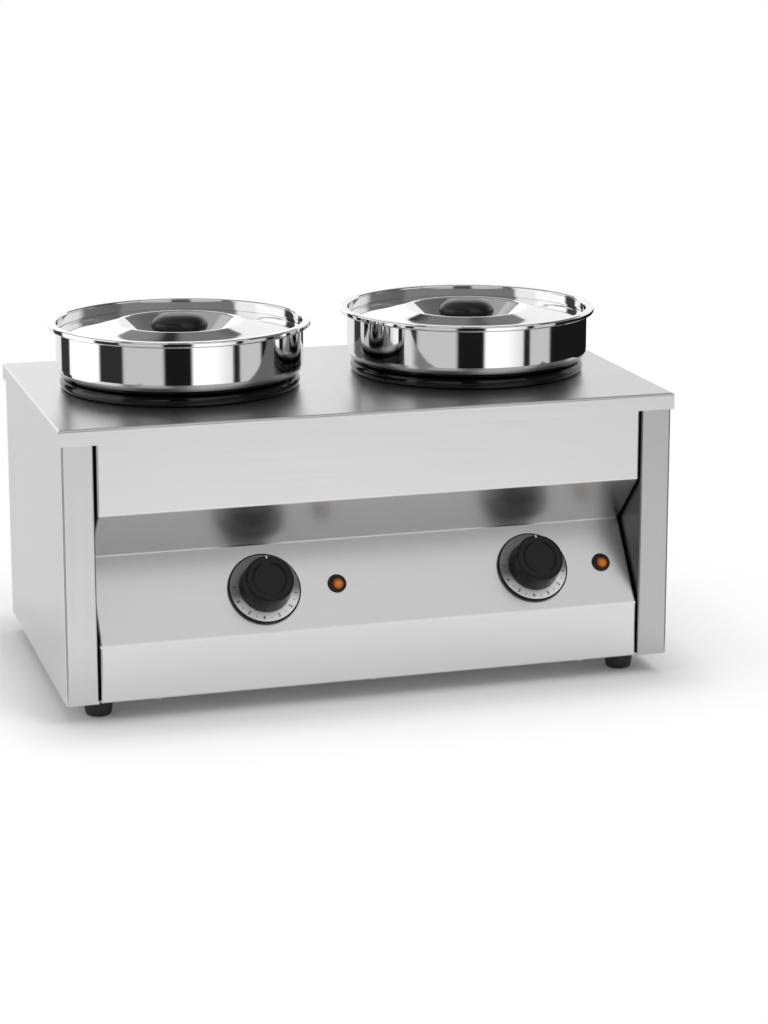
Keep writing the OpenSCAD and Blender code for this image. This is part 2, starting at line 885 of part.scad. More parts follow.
module foot_screws() {
    nut_t = 3;
    color(zinc)
        at_feet() {
            translate([0, 0, foot_h - foot_web])
                cylinder(h = foot_web + sheet + nut_t + 2, r = foot_bolt_r, $fn = 32);
            translate([0, 0, foot_h - foot_web - 2])
                cylinder(h = 2, r = 4, $fn = 32);
            translate([0, 0, base_top])
                cylinder(h = nut_t, r = 4, $fn = 6);
        }
}

// The pot: a rolled rim, an upper wall with a round shoulder, a lower wall and a round base
module pot(side) {
    roll_w = 2.6;
    roll_r = pot_wall + 0.4;
    neck_r = pot_neck_r - pot_wall;
    path = [[rim_r - roll_w, rim_z - rim_roll, 0], [rim_r, rim_z - rim_roll, roll_r],
        [rim_r, rim_z, roll_r], [pot_in_r, rim_z, 2 * pot_wall],
        [pot_in_r, pot_ledge + pot_wall, shoulder_r], [neck_r, pot_ledge + pot_wall, 1.5 * pot_wall],
        [neck_r, pot_floor + pot_wall, pot_base_r], [0, pot_floor + pot_wall, 0]];
    ledge_z = lid_z - pot_wall - seat_gap;
    color(polished)
        at_pot(side)
            rotate_extrude($fn = 128) {
                polygon(sheet_outline(path, -pot_wall));
                polygon([[pot_in_r + pot_wall / 2, ledge_z], [pot_in_r - ledge_w, ledge_z],
                    [pot_in_r - ledge_w, ledge_z - 0.8],
                    [pot_in_r + pot_wall / 2, ledge_z - ledge_w - 0.8]]);
            }
}

module lid(side) {
    edge_r = pot_in_r - lid_clear;
    // The lid rises gently at first and more steeply towards its crest
    middle = [(edge_r - lid_edge + crest_r) / 2, lid_z + 0.36 * (crest_z - lid_z), 150];
    path = [[edge_r, lid_z, 0], [edge_r - lid_edge, lid_z, 4], middle, [crest_r, crest_z, 6],
        [dish_r, dish_z, 4], [0, dish_z, 0]];
    color(polished)
        at_pot(side)
            difference() {
                rotate_extrude($fn = 128)
                    polygon(sheet_outline(path, -pot_wall));
                translate([0, 0, dish_z - 5])
                    cylinder(h = 10, r = screw_r + screw_clear, $fn = 32);
            }
}

// The lid knob: a stem on the dish floor under a rounded cap
module lid_knob(side) {
    half = lid_knob_h / 2;
    color(black)
        at_pot(side)
            difference() {
                rotate_extrude($fn = 96)
                    polygon(concat(
                        [[0, dish_z], [lid_stem_r, dish_z], [lid_stem_r - 1, dish_z + 2],
                         [lid_stem_r - 1, cap_z + 0.5]],
                        [for (a = [-60 : 10 : 90])
                            [lid_knob_r * pow(cos(a), 0.7), cap_z + half + half * sin(a)]]));
                translate([0, 0, dish_z - 1])
                    cylinder(h = lid_screw_l + 1, r = screw_r + screw_clear, $fn = 32);
            }
}

module lid_screw(side) {
    color(zinc)
        at_pot(side)
            translate([0, 0, dish_z - pot_wall])
                mirror([0, 0, 1])
                    screw(lid_screw_l);
}

// The cable gland: a threaded tube through the back panel with a collar outside it
module cable_gland() {
    inside = 12;
    color(black)
        translate([gland_x, rear_y - sheet, gland_z])
            rotate([-90, 0, 0])
                difference() {
                    union() {
                        translate([0, 0, -inside])
                            cylinder(h = inside + sheet + gland_out, r = gland_thread_r, $fn = 64);
                        cylinder(h = collar_t, r = gland_hex / 2 / cos(30), $fn = 6);
                    }
                    translate([0, 0, -inside - 1])
                        cylinder(h = inside + sheet + gland_out + 2, r = gland_bore_r, $fn = 64);
                }
}

module gland_cap() {
    cap_l = gland_out + sheet - collar_t - 1;
    color(black)
        translate([gland_x, rear_y - sheet + collar_t, gland_z])
            rotate([-90, 0, 0])
                difference() {
                    intersection() {
                        cylinder(h = cap_l, r = gland_hex / 2 / cos(30) - 0.5, $fn = 6);
                        rotate_extrude($fn = 64)
                            polygon([[0, 0], [gland_hex / 2 + 1.5, 0], [gland_hex / 2 + 1.5, cap_l - 4],
                                [gland_hex / 2 - 1.5, cap_l], [0, cap_l]]);
                    }
                    translate([0, 0, -1])
                        cylinder(h = cap_l + 2, r = gland_thread_r + screw_clear, $fn = 64);
                }
}

module gland_locknut() {
    nut_t = 4;
    color(black)
        translate([gland_x, rear_y - 2 * sheet - nut_t, gland_z])
            rotate([-90, 0, 0])
                difference() {
                    cylinder(h = nut_t, r = gland_hex / 2 / cos(30), $fn = 6);
                    translate([0, 0, -1])
                        cylinder(h = nut_t + 2, r = gland_thread_r + screw_clear, $fn = 64);
                }
}

// A three-way terminal block on the base plate, in line with the gland
module terminal_block() {
    ways = 3;
    way_w = 11;
    block_d = 20;
    block_h = 16;
    color([0.88, 0.87, 0.83])
        translate([gland_x - ways * way_w / 2, rear_y - 60, base_top])
            difference() {
                union() {
                    cube([ways * way_w, block_d, block_h * 0.6]);
                    for (k = [0 : ways - 1])
                        translate([k * way_w + 1, 2, 0])
                            cube([way_w - 2, block_d - 4, block_h]);
                }
                for (k = [0 : ways - 1])
                    translate([(k + 0.5) * way_w, -1, block_h * 0.65])
                        rotate([-90, 0, 0])
                            cylinder(h = block_d + 2, r = 2.2, $fn = 32);
                for (k = [0 : ways - 1], y = [block_d * 0.3, block_d * 0.7])
                    translate([(k + 0.5) * way_w, y, block_h * 0.65])
                        cylinder(h = block_h, r = 1.8, $fn = 32);
            }
}

module earth_stud() {
    nut_t = 4;
    color(brass)
        translate([earth_x, earth_y, 0]) {
            translate([0, 0, foot_h - 1.5])
                cylinder(h = 16, r = earth_r, $fn = 32);
            translate([0, 0, foot_h - 2])
                cylinder(h = 2, r = 5, $fn = 32);
            translate([0, 0, base_top])
                cylinder(h = nut_t, r = 5, $fn = 6);
        }
}

module back_screws() {
    color(zinc)
        at_back_screws()
            screw(3 * sheet + 2);
}

module base_screws() {
    color(zinc)
        at_base_screws()
            screw(3 * sheet + 2);
}

// Studs under the top plate, with nuts below the side panels' top flanges
module top_studs() {
    nut_t = 3;
    color(zinc)
        at_studs() {
            translate([0, 0, -sheet - nut_t - 2])
                cylinder(h = sheet + nut_t + 2, r = screw_r, $fn = 32);
            translate([0, 0, -sheet - nut_t])
                cylinder(h = nut_t, r = 3.4, $fn = 6);
        }
}

top_plate();
side_panel();  // left_side_panel
mirror([1, 0, 0]) side_panel();  // right_side_panel
front_panel();
back_panel();
base_plate();
well(-1);  // left_well
well(1);  // right_well
well_base(-1);  // left_well_base
well_base(1);  // right_well_base
well_ring(-1);  // left_well_ring
well_ring(1);  // right_well_ring
heater(-1);  // left_heater
heater(1);  // right_heater
heater_plate(-1);  // left_heater_plate
heater_plate(1);  // right_heater_plate
heater_nuts();
thermostat(dial_x[0]);  // left_thermostat
thermostat(dial_x[1]);  // right_thermostat
spindle(dial_x[0]);  // left_spindle
spindle(dial_x[1]);  // right_spindle
sensor(-1, dial_x[0]);  // left_sensor
sensor(1, dial_x[1]);  // right_sensor
sensor_clips();
dial_base(dial_x[0]);  // left_dial_base
dial_base(dial_x[1]);  // right_dial_base
dial_plate(dial_x[0]);  // left_dial_plate
dial_plate(dial_x[1]);  // right_dial_plate
dial_screws();
knob(dial_x[0]);  // left_knob
knob(dial_x[1]);  // right_knob
lamp_holder(dial_x[0]);  // left_lamp_holder
lamp_holder(dial_x[1]);  // right_lamp_holder
lamp_lens(dial_x[0]);  // left_lamp_lens
lamp_lens(dial_x[1]);  // right_lamp_lens
lamp_clips();
foot(-foot_x, foot_ys[0]);  // front_left_foot
foot(foot_x, foot_ys[0]);  // front_right_foot
foot(-foot_x, foot_ys[1]);  // back_left_foot
foot(foot_x, foot_ys[1]);  // back_right_foot
foot_screws();
pot(-1);  // left_pot
pot(1);  // right_pot
lid(-1);  // left_lid
lid(1);  // right_lid
lid_knob(-1);  // left_lid_knob
lid_knob(1);  // right_lid_knob
lid_screw(-1);  // left_lid_screw
lid_screw(1);  // right_lid_screw
cable_gland();
gland_cap();
gland_locknut();
terminal_block();
earth_stud();
back_screws();
base_screws();
top_studs();
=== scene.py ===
"""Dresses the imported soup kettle: finishes for the sheet steel, the mirror pots and the black
mouldings, the dials' scales, the knobs' pointers, and a plain pale studio round them."""

import json
import math

import bmesh
import bpy
from mathutils import Matrix, Vector


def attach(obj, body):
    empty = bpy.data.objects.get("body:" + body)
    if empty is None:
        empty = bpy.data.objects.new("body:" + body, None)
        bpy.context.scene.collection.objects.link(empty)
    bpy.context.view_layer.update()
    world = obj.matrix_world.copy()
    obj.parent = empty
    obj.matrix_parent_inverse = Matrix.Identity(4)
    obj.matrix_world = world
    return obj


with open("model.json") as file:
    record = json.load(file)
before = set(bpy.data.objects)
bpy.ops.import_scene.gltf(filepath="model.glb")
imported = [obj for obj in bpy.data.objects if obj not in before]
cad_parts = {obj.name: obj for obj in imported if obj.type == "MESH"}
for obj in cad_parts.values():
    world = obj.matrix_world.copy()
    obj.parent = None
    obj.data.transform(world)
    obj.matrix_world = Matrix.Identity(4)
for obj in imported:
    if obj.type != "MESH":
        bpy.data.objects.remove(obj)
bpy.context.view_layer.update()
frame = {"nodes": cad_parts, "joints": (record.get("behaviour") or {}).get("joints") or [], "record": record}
NODES = frame["nodes"]
MM = 0.001

# Where the dials are and how the control panel slopes, as the knobs' hinges have them
JOINTS = {joint["name"]: joint for joint in frame["joints"]}
DIALS = {side: Vector(JOINTS[side + "_knob_turn"]["pos_m"]) for side in ("left", "right")}
PANEL_OUT = -Vector(JOINTS["left_knob_turn"]["axis"]).normalized()
PANEL_UP = PANEL_OUT.cross(Vector((1, 0, 0))).normalized()
LAMP_STEP = 62 * MM


# ---------------------------------------------------------------- finishes

class Value:
    """One output of a node, with sums that add Math nodes to its finish."""

    def __init__(self, finish, socket):
        self.finish, self.socket = finish, socket

    def maths(self, operation, first, second=0.0):
        return self.finish.add("ShaderNodeMath", {"operation": operation}, {0: first, 1: second})

    def __add__(self, other):
        return self.maths("ADD", self, other)

    def __sub__(self, other):
        return self.maths("SUBTRACT", self, other)

    def __rsub__(self, other):
        return self.maths("SUBTRACT", other, self)

    def __mul__(self, other):
        return self.maths("MULTIPLY", self, other)

    def __truediv__(self, other):
        return self.maths("DIVIDE", self, other)

    def __gt__(self, other):
        return self.maths("GREATER_THAN", self, other)

    def __abs__(self):
        return self.maths("ABSOLUTE", self)

    def cosine(self):
        return self.maths("COSINE", self)

    def root(self):
        return self.maths("SQRT", self)

    def ramp(self, low, high, start=0.0, end=1.0, soft=True):
        """start below low and end above high, eased between them if it is soft."""
        kind = "SMOOTHSTEP" if soft else "LINEAR"
        return self.finish.add("ShaderNodeMapRange", {"interpolation_type": kind, "clamp": True},
                               {"Value": self, "From Min": low, "From Max": high,
                                "To Min": start, "To Max": end})


class Finish:
    """A material under its finish's name, with one main shader."""

    def __init__(self, name, shader="ShaderNodeBsdfPrincipled", **constants):
        self.material = bpy.data.materials.new(name)
        self.material.use_nodes = True
        self.tree = self.material.node_tree
        self.tree.nodes.clear()
        self.output = self.tree.nodes.new("ShaderNodeOutputMaterial")
        self.shader = self.tree.nodes.new(shader)
        self.tree.links.new(self.shader.outputs[0], self.output.inputs["Surface"])
        for socket, value in constants.items():
            self.shader.inputs[socket.replace("_", " ")].default_value = value

    def add(self, kind, settings=None, sockets=None, output=0):
        """A node of that kind: its settings first, then the values or links of its sockets."""
        node = self.tree.nodes.new(kind)
        for name, value in (settings or {}).items():
            if name == "stops":
                ramp = node.color_ramp
                while len(ramp.elements) < len(value):
                    ramp.elements.new(0.5)
                for element, (place, colour) in zip(ramp.elements, value):
                    element.position, element.color = place, colour
            else:
                setattr(node, name, value)
        for name, value in (sockets or {}).items():
            if isinstance(value, Value):
                self.tree.links.new(value.socket, node.inputs[name])
            else:
                node.inputs[name].default_value = value
        return Value(self, node.outputs[output])

    def put(self, socket, value):
        self.tree.links.new(value.socket, self.shader.inputs[socket])

    def place(self, at=(0, 0, 0), turn=None):
        """Object coordinates about the point at, turned about it."""
        spot = self.add("ShaderNodeTexCoord", output="Object")
        spot = self.add("ShaderNodeMapping", {"vector_type": "POINT"},
                        {"Vector": spot, "Location": tuple(-c for c in at)})
        if turn:
            spot = self.add("ShaderNodeMapping", {"vector_type": "POINT"},
                            {"Vector": spot, "Rotation": turn})
        return spot

    def parts(self, vector):
        split = self.add("ShaderNodeSeparateXYZ", sockets={"Vector": vector})
        outputs = split.socket.node.outputs
        return [Value(self, outputs[i]) for i in range(3)]

    def noise(self, vector, scale, detail=2.0, roughness=0.5):
        return self.add("ShaderNodeTexNoise", {"noise_dimensions": "3D"},
                        {"Vector": vector, "Scale": scale, "Detail": detail,
                         "Roughness": roughness}, "Fac")

    def blend(self, factor, first, second):
        """From the first colour to the second."""
        return self.add("ShaderNodeMix", {"data_type": "RGBA", "blend_type": "MIX"},
                        {0: factor, 6: first, 7: second}, 2)

    def bump(self, height, distance, strength=1.0):
        normal = self.add("ShaderNodeBump", sockets={
            "Height": height, "Distance": distance, "Strength": strength})
        self.put("Normal", normal)


def grey(level, warm=0.0):
    """A grey, or a brownish one with more red and less blue where it is warm."""
    return (level * (1 + warm), level, level * (1 - warm), 1.0)


WHITE = grey(1)

# Repeats of the grain in a metre, along its lines and across them
FINE_GRAIN, BROAD_GRAIN = (5, 900), (2.2, 120)
GRAIN_DEPTH = 0.05 * MM
# The top's grain comes from another layer of the noise
TOP_LAYER = 3
# How straight a face looks up or down, or aside, before it counts as doing so
LOOKS_UP, LOOKS_ASIDE = 0.9, 0.7
SHEET_DARK, SHEET_LIGHT, SHEET_ROUGH = 0.73, 0.76, 0.3
# The flanges' greys are painted shade, deeper on the right
FLANGE_SHADE_GREY = {"left": 0.66, "right": 0.52}
# The fold's pale grey is a painted highlight
# The recess cheek's dark grey is painted shade
CHEEK_SHADE_GREY, FOLD_HIGHLIGHT_GREY = 0.25, 0.85
# The way along X from a side panel to the middle
INWARD = {"left": 1, "right": -1}
# The bend under the control panel, and how far from it its painted highlight line is whole and ends
FRONT_FOLD_Z = 65 * MM
FOLD_WHOLE, FOLD_END = 0.7 * MM, 1.2 * MM


def brushed_sheet(name, panel=None, fold=None):
    """Sheet steel with fine straight grain: across the front and top, or up a side panel.

    panel is the side of a side panel, whose flanges and inner recess cheek take painted shade.
    fold is the height of a bend that takes a painted highlight line.
    """
    finish = Finish(name, Metallic=1.0)
    x, y, z = finish.parts(finish.place())
    facing = finish.parts(finish.add("ShaderNodeNewGeometry", output="Normal"))
    up = abs(facing[2]) > LOOKS_UP
    side = abs(facing[0]) > LOOKS_ASIDE
    if panel:
        along = z
        across = side * y + (1 - side) * x
    else:
        along = x * (1 - side) + y * side
        across = up * y + (1 - up) * z

    def grain(repeats, **look):
        """Noise drawn out along the grain."""
        drawn = finish.add("ShaderNodeCombineXYZ", sockets={
            "X": along * repeats[0], "Y": across * repeats[1], "Z": up * TOP_LAYER})
        return finish.noise(drawn, scale=1, **look)

    fine = grain(FINE_GRAIN, detail=3, roughness=0.6)
    broad = grain(BROAD_GRAIN)
    cloud = finish.noise(finish.place(), scale=7)
    tone = fine * 0.45 + broad * 0.2 + cloud * 0.35
    colour = finish.blend(tone.ramp(0.3, 0.7), grey(SHEET_DARK), grey(SHEET_LIGHT))
    if panel:
        # The flanges are brushed the other way, and their darker greys are painted shade, deeper on the
        # right
        colour = finish.blend(side, grey(FLANGE_SHADE_GREY[panel]), colour)
        # The recess cheek on the inner face takes a dark painted shade
        cheek_painted_shade = facing[0] * INWARD[panel] > LOOKS_ASIDE
        colour = finish.blend(cheek_painted_shade, colour, grey(CHEEK_SHADE_GREY))
    if fold:
        # The bend takes a pale dull line of painted highlight
        fold_painted_highlight = abs(z - fold).ramp(FOLD_WHOLE, FOLD_END, 1, 0)
        colour = finish.blend(fold_painted_highlight, colour, grey(FOLD_HIGHLIGHT_GREY))
        finish.put("Metallic", 1 - fold_painted_highlight)
    finish.put("Base Color", colour)
    finish.put("Roughness", fine * 0.08 + cloud * 0.05 + (SHEET_ROUGH - 0.065))
    finish.bump(fine * 0.8 + broad * 0.2, GRAIN_DEPTH)
    return finish.material


# Lines left by turning, in a metre
TURNED_LINES = 1400
# The grey of the painted shade at a pot's shoulder
SHOULDER_SHADE_GREY = 0.3
SHOULDER = (250.5 * MM, 263.2 * MM)


def mirror_steel(name, light, shoulder_shade_band=None):
    """Polished steel, with the faint turned lines and wipe marks that polishing leaves.

    The last argument is the lowest and highest height of a band of painted shade, as at a pot's shoulder.
    """
    finish = Finish(name, Metallic=1.0)
    spot = finish.place()
    smear = finish.noise(spot, scale=14, detail=3, roughness=0.55)
    z = finish.parts(spot)[2]
    rings = finish.add("ShaderNodeCombineXYZ", sockets={"Z": z * TURNED_LINES})
    lines = finish.noise(rings, scale=1, detail=1)
    colour = finish.blend(smear, grey(light - 0.03), grey(light))
    if shoulder_shade_band:
        bottom, top = shoulder_shade_band
        # A band of painted shade at the shoulder
        shoulder_painted_shade = z.ramp(bottom, bottom + 3 * MM) * z.ramp(top - 4 * MM, top, 1, 0)
        colour = finish.blend(shoulder_painted_shade, colour, grey(SHOULDER_SHADE_GREY))
    finish.put("Base Color", colour)
    finish.put("Roughness", smear * 0.04 + lines * 0.015 + 0.03)
    return finish.material


def moulded(name, level, rough, texture=0.0, warm=0.0, shine=0.5):
    """A black or pale moulding: faint mottle, a fine skin and a slightly uneven gloss.

    texture is the depth of the skin, in metres.
    """
    finish = Finish(name, Specular_IOR_Level=shine)
    spot = finish.place()
    mottle = finish.noise(spot, scale=60, detail=3)
    skin = finish.noise(spot, scale=900)
    dark, light = grey(level * 0.8, warm), grey(level * 1.2, warm)
    finish.put("Base Color", finish.blend(mottle, dark, light))
    finish.put("Roughness", mottle * 0.08 + skin * 0.05 + (rough - 0.065))
    if texture:
        finish.bump(skin, texture, 0.6)
    return finish.material


# The darkest and lightest greys of the spun plate, spread mostly by its painted sheen and a little by its
# rings
SHEEN_AND_RINGS_DARK, SHEEN_AND_RINGS_LIGHT = 0.13, 1.0
# A turn of the painted sheen's fan, in radians, and the rings in a metre
SHEEN_TURN, SPUN_RINGS = 0.05, 2500


def dial_silver(name, centre):
    """Spun silver: a painted sheen in a light fan to the left of its middle, dark beside it, over fine
    rings.
    """
    finish = Finish(name, Metallic=0.35)
    tilt = math.atan2(-PANEL_OUT.y, PANEL_OUT.z)
    x, y, _ = finish.parts(finish.place(centre, turn=(-tilt, 0, 0)))
    angle = finish.add("ShaderNodeMath", {"operation": "ARCTAN2"}, {0: x, 1: y})
    radius = (x * x + y * y).root()
    # The fan of light and dark is a painted sheen of the spun finish
    dial_painted_sheen = (0 - (angle + SHEEN_TURN).cosine()).ramp(0.05, 0.6)
    spun = finish.add("ShaderNodeCombineXYZ", sockets={"X": angle * 3, "Y": radius * SPUN_RINGS})
    streak = finish.noise(spun, scale=1)
    tone = dial_painted_sheen * 0.85 + streak * 0.15
    finish.put("Base Color", finish.blend(tone, grey(SHEEN_AND_RINGS_DARK), grey(SHEEN_AND_RINGS_LIGHT)))
    finish.put("Roughness", streak * 0.12 + 0.4)
    return finish.material


AMBER_DEEP, AMBER_PALE = (0.6, 0.12, 0.001, 1), (0.9, 0.25, 0.006, 1)
# The amber's painted shade round its edge and on its left
AMBER_SHADE = (0.05, 0.008, 0.001, 1)
# From a lens's middle to the spot of painted light where it is palest, and how far from there the painted
# shade begins and is whole
LENS_LIT_SPOT = Vector((0.8, 0.3, -1.4)) * MM
SHADE_FROM, SHADE_BY = 3.0 * MM, 6.2 * MM


def amber_lens(name, centre):
    """Unlit amber moulding with painted light to the lower right of its middle and painted shade round its
    edge and on its left, with a mottled depth to it.
    """
    finish = Finish(name, Coat_Weight=0.3, Coat_Roughness=0.1, Specular_IOR_Level=0.25)
    depth = finish.noise(finish.place(centre), scale=260)
    x, y, z = finish.parts(finish.place(centre + LENS_LIT_SPOT))
    # Painted shade grows outward from a spot of painted light
    lens_painted_shade = (x * x + y * y + z * z).root().ramp(SHADE_FROM, SHADE_BY)
    amber = finish.blend(depth, AMBER_DEEP, AMBER_PALE)
    finish.put("Base Color", finish.blend(lens_painted_shade, amber, AMBER_SHADE))
    finish.put("Roughness", depth * 0.1 + 0.2)
    return finish.material


def plated(name, light, dark, rough, warm=0.0):
    """Plated or turned metal, clouded in its colour and gloss."""
    finish = Finish(name, Metallic=1.0)
    spot = finish.place()
    cloud = finish.noise(spot, scale=40, detail=4)
    colour = finish.blend(cloud.ramp(0.3, 0.7), grey(dark, warm), grey(light, warm))
    finish.put("Base Color", colour)
    finish.put("Roughness", cloud * 0.15 + (rough - 0.07))
    return finish.material


FINISHES = {
    "body_steel": brushed_sheet("brushed_sheet"),
    "polished_steel": mirror_steel("mirror_steel", 0.86, shoulder_shade_band=SHOULDER),
    "well_steel": mirror_steel("pressed_steel", 0.7),
    "plated_steel": plated("zinc_plate", 0.66, 0.52, 0.38),
    "heater_sheath": plated("heater_sheath", 0.34, 0.2, 0.55, 0.03),
    "ring_black": moulded("ring_black", 0.002, 0.08, shine=0.45),
    "control_black": moulded("control_black", 0.005, 0.28, texture=0.02 * MM, shine=0.25),
    "lamp_rim": moulded("lamp_rim_black", 0.008, 0.25, warm=0.2, shine=0.3),
    "lid_knob_black": moulded("lid_knob_black", 0.007, 0.3, texture=0.03 * MM, shine=0.4),
    "foot_rubber": moulded("foot_rubber", 0.02, 0.62, texture=0.06 * MM),
    "fitting_plastic": moulded("fitting_cream", 0.6, 0.45, warm=0.05),
    "brass_parts": plated("turned_brass", 0.6, 0.48, 0.3, 0.35),
    "gland_plastic": moulded("gland_black", 0.03, 0.48, texture=0.03 * MM),
}
SLOTS = {s["node"]: s["material_slot"] for s in frame["record"]["subparts"]}


def dress(node, material):
    """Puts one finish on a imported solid."""
    mesh = NODES[node].data
    mesh.materials.clear()
    mesh.materials.append(material)


for node, slot in SLOTS.items():
    if slot in FINISHES:
        dress(node, FINISHES[slot])
dress("front_panel", brushed_sheet("front_brushed_sheet", fold=FRONT_FOLD_Z))
for side, centre in DIALS.items():
    dress(side + "_dial_plate", dial_silver(side + "_dial_silver", tuple(centre)))
    dress(side + "_side_panel", brushed_sheet(side + "_brushed_side", panel=side))
    dress(side + "_lamp_lens", amber_lens(side + "_amber", centre + Vector((LAMP_STEP, 0, 0))))


# ---------------------------------------------------------------- dial scales and pointers

# A dial's scale, in degrees clockwise from its top, with a numeral at each step
SCALE_START, SCALE_STEP, NUMERALS = 103.3, 28.75, 7
SCALE_R, DIGIT_H, DOT_R = 26.0 * MM, 2.9 * MM, 0.5 * MM
FONT_PER_HEIGHT = 1.4
# The ink's height over the panel, just proud of the plate
INK_LEVEL = 3.23 * MM
INK = moulded("scale_ink", 0.02, 0.5)
POINTER = moulded("pointer_white", 0.75, 0.4)


def panel_matrix(centre):
    """From a dial's own plane, Y up the slope and Z out of it, to the whole."""
    across = Vector((1, 0, 0))
    turn = Matrix((across, PANEL_UP, PANEL_OUT)).transposed().to_4x4()
    return Matrix.Translation(centre) @ turn


def made(name, bm, material):
    """A thing of that shape and material, put in the scene."""
    mesh = bpy.data.meshes.new(name)
    bm.to_mesh(mesh)
    bm.free()
    mesh.materials.append(material)
    thing = bpy.data.objects.new(name, mesh)
    bpy.context.scene.collection.objects.link(thing)
    return thing


def piece(name, bm, material, body):
    """A flat-shaded piece that rides on that body."""
    bm.normal_update()
    thing = made(name, bm, material)
    for face in thing.data.polygons:
        face.use_smooth = False
    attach(thing, body)


def digit_mesh(digit):
    """One numeral, flat and centred, from Blender's own font."""
    letters = bpy.data.curves.new("digit", "FONT")
    letters.body, letters.size = str(digit), DIGIT_H * FONT_PER_HEIGHT
    letters.align_x, letters.align_y = "CENTER", "CENTER"
    letters.extrude, letters.offset, letters.resolution_u = 0.02 * MM, 0.12 * MM, 4
    holder = bpy.data.objects.new("digit", letters)
    bpy.context.scene.collection.objects.link(holder)
    bpy.context.view_layer.update()
    mesh = bpy.data.meshes.new_from_object(holder)
    bpy.data.objects.remove(holder)
    return mesh


def dial_scale(side, centre):
    """Numerals from the right of the dial round its foot to the left, with dots between."""
    bm = bmesh.new()
    for step in range(2 * NUMERALS - 1):
        turn = math.radians(SCALE_START + SCALE_STEP * step / 2)
        spot = Vector((math.sin(turn), math.cos(turn), 0)) * SCALE_R
        old = set(bm.verts)
        if step % 2:
            bmesh.ops.create_circle(bm, cap_ends=True, segments=10, radius=DOT_R)
        else:
            bm.from_mesh(digit_mesh(step // 2 + 1))
        new = [v for v in bm.verts if v not in old]
        upright = Matrix.Rotation(math.pi - turn, 4, "Z")
        bmesh.ops.transform(bm, verts=new, matrix=Matrix.Translation(spot) @ upright)
    bmesh.ops.translate(bm, verts=bm.verts, vec=(0, 0, INK_LEVEL))
    bmesh.ops.transform(bm, verts=bm.verts, matrix=panel_matrix(centre))
    piece(side + "_dial_scale", bm, INK, "housing")


POINTER_SIZE = Vector((1.3, 2.4, 1.8)) * MM
POINTER_AT = Vector((0, 18.8, 23.7)) * MM


def pointer(side, centre):
    """A white inlay in the notch at the knob's edge."""
    bm = bmesh.new()
    bmesh.ops.create_cube(bm, size=1.0)
    bmesh.ops.scale(bm, verts=bm.verts, vec=POINTER_SIZE)
    bmesh.ops.translate(bm, verts=bm.verts, vec=POINTER_AT)
    bmesh.ops.bevel(bm, geom=bm.edges[:], offset=0.2 * MM, segments=2, profile=0.5,
                    affect="EDGES", material=-1)
    bmesh.ops.transform(bm, verts=bm.verts, matrix=panel_matrix(centre))
    piece(side + "_pointer", bm, POINTER, side + "_knob")


for side, centre in DIALS.items():
    dial_scale(side, centre)
    pointer(side, centre)


# ---------------------------------------------------------------- studio

CAMERA_AT = Vector((-0.5895, -2.1581, 0.6930))
CAMERA_YAW, CAMERA_PITCH = -0.2881, 0.2101

camera = bpy.data.cameras.new("camera")
camera.lens, camera.sensor_width, camera.sensor_fit = 93.04, 36.0, "AUTO"
camera.shift_y = -0.0996
camera.clip_start, camera.clip_end = 0.05, 30.0
camera_object = bpy.data.objects.new("camera", camera)
camera_object.location = CAMERA_AT
camera_object.rotation_euler = (math.pi / 2 - CAMERA_PITCH, 0, CAMERA_YAW)
bpy.context.scene.collection.objects.link(camera_object)
bpy.context.scene.camera = camera_object

FLOOR_R, FLOOR_END = 0.36, 12.0
# Half the width and depth of the place on the floor that keeps its full shade, and how far
# from it the floor begins to turn white and is white
SHADED_X, SHADED_Y = 0.25, 0.15
WHITE_FROM, WHITE_BY = 0.04, 0.25


def staged(name, bm, material, mirrored=True):
    """A thing of the studio, which mirror reflections see only if it is mirrored."""
    thing = made(name, bm, material)
    thing.visible_glossy = mirrored


def floor_finish():
    """Pale and plain near the object, where it takes the shadow, and white beyond."""
    finish = Finish("floor_white", "ShaderNodeBsdfDiffuse", Color=(0.9, 0.9, 0.9, 1))
    x, y, _ = finish.parts(finish.place())
    beside = (abs(x) - SHADED_X).ramp(0, 1, soft=False)
    before = (abs(y) - SHADED_Y).ramp(0, 1, soft=False)
    away = (beside * beside + before * before).root()
    far = away.ramp(WHITE_FROM, WHITE_BY)
    seen = finish.add("ShaderNodeLightPath", output="Is Camera Ray")
    mirrored = Value(finish, seen.socket.node.outputs["Is Glossy Ray"])
    # A little light of its own keeps the shadow's rim pale
    glow = seen * away.ramp(0, 0.07, 0.02, 0.2) + mirrored * 0.08
    lift = finish.add("ShaderNodeEmission", sockets={"Color": WHITE, "Strength": glow})
    white = finish.add("ShaderNodeEmission", sockets={"Color": WHITE, "Strength": 1.0})
    near = finish.add("ShaderNodeAddShader", sockets={0: Value(finish, finish.shader.outputs[0]),
                                                      1: lift})
    mix = finish.add("ShaderNodeMixShader", sockets={0: far, 1: near, 2: white})
    finish.tree.links.new(mix.socket, finish.output.inputs["Surface"])
    return finish.material


def disc(cheek_painted_shade, outer):
    """A flat disc, or a flat ring round a hole of radius inner."""
    bm = bmesh.new()
    if cheek_painted_shade:
        for radius in (cheek_painted_shade, outer):
            bmesh.ops.create_circle(bm, segments=64, radius=radius)
        bmesh.ops.bridge_loops(bm, edges=bm.edges[:])
    else:
        bmesh.ops.create_circle(bm, cap_ends=True, segments=64, radius=outer)
    bmesh.ops.recalc_face_normals(bm, faces=bm.faces)
    return bm


WHITE_FLOOR = floor_finish()
staged("floor", disc(0, FLOOR_R), WHITE_FLOOR)
staged("floor_beyond", disc(FLOOR_R, FLOOR_END), WHITE_FLOOR, mirrored=False)


